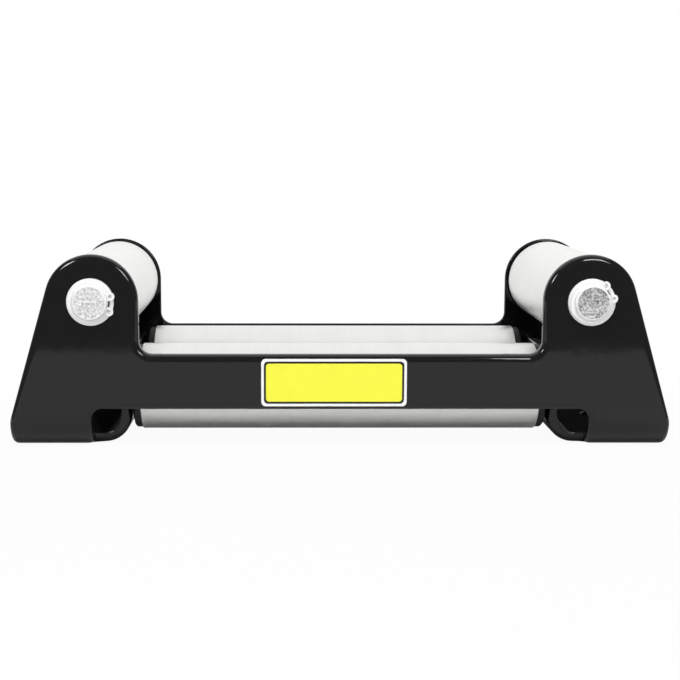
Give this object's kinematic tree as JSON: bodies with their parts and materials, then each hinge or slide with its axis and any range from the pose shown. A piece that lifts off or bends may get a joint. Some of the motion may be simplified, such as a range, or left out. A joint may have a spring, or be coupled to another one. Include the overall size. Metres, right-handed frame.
{
  "type": "roller fairlead",
  "caption": "Roller fairlead: bent black steel frame with long and short bright steel rollers turning on pins, which guide a winch line from any side.",
  "frame": {"origin": "centre of the mounting face, midway between the two mounting holes", "axes": "+X along the long rollers, +Y along the short rollers to the rear, +Z away from the mounting face"},
  "size_m": [0.297, 0.1234, 0.0869],
  "materials": {
    "black_coat": "gloss powder coat",
    "roller_steel": "satin turned",
    "pin_steel": "sawn and zinc plated",
    "zinc": "bright zinc plated",
    "nylon": "moulded",
    "label": "printed film"
  },
  "bodies": {
    "frame": {"frame": "black_coat", "blank_label": "label", "front_long_pin": "pin_steel", "rear_long_pin": "pin_steel", "left_short_pin": "pin_steel", "right_short_pin": "pin_steel", "front_long_washer_left": "zinc", "front_long_washer_right": "zinc", "rear_long_washer_left": "zinc", "rear_long_washer_right": "zinc", "left_short_washer_front": "zinc", "left_short_washer_rear": "zinc", "right_short_washer_front": "zinc", "right_short_washer_rear": "zinc", "front_long_circlip_left": "zinc", "front_long_circlip_right": "zinc", "rear_long_circlip_left": "zinc", "rear_long_circlip_right": "zinc", "left_short_circlip_front": "zinc", "left_short_circlip_rear": "zinc", "right_short_circlip_front": "zinc", "right_short_circlip_rear": "zinc"},
    "front_long_roller": {"front_long_roller": "roller_steel", "front_long_bush_left": "nylon", "front_long_bush_right": "nylon"},
    "rear_long_roller": {"rear_long_roller": "roller_steel", "rear_long_bush_left": "nylon", "rear_long_bush_right": "nylon"},
    "left_short_roller": {"left_short_roller": "roller_steel", "left_short_bush_front": "nylon", "left_short_bush_rear": "nylon"},
    "right_short_roller": {"right_short_roller": "roller_steel", "right_short_bush_front": "nylon", "right_short_bush_rear": "nylon"}
  },
  "joints": [
    {"name": "front_long_spin", "type": "hinge", "parent": "frame", "child": "front_long_roller", "pos_m": [0, -0.03125, 0.0241], "axis": [1, 0, 0], "continuous": true},
    {"name": "rear_long_spin", "type": "hinge", "parent": "frame", "child": "rear_long_roller", "pos_m": [0, 0.03125, 0.0241], "axis": [1, 0, 0], "continuous": true},
    {"name": "left_short_spin", "type": "hinge", "parent": "frame", "child": "left_short_roller", "pos_m": [-0.111, 0, 0.066], "axis": [0, 1, 0], "continuous": true},
    {"name": "right_short_spin", "type": "hinge", "parent": "frame", "child": "right_short_roller", "pos_m": [0.111, 0, 0.066], "axis": [0, 1, 0], "continuous": true}
  ]
}
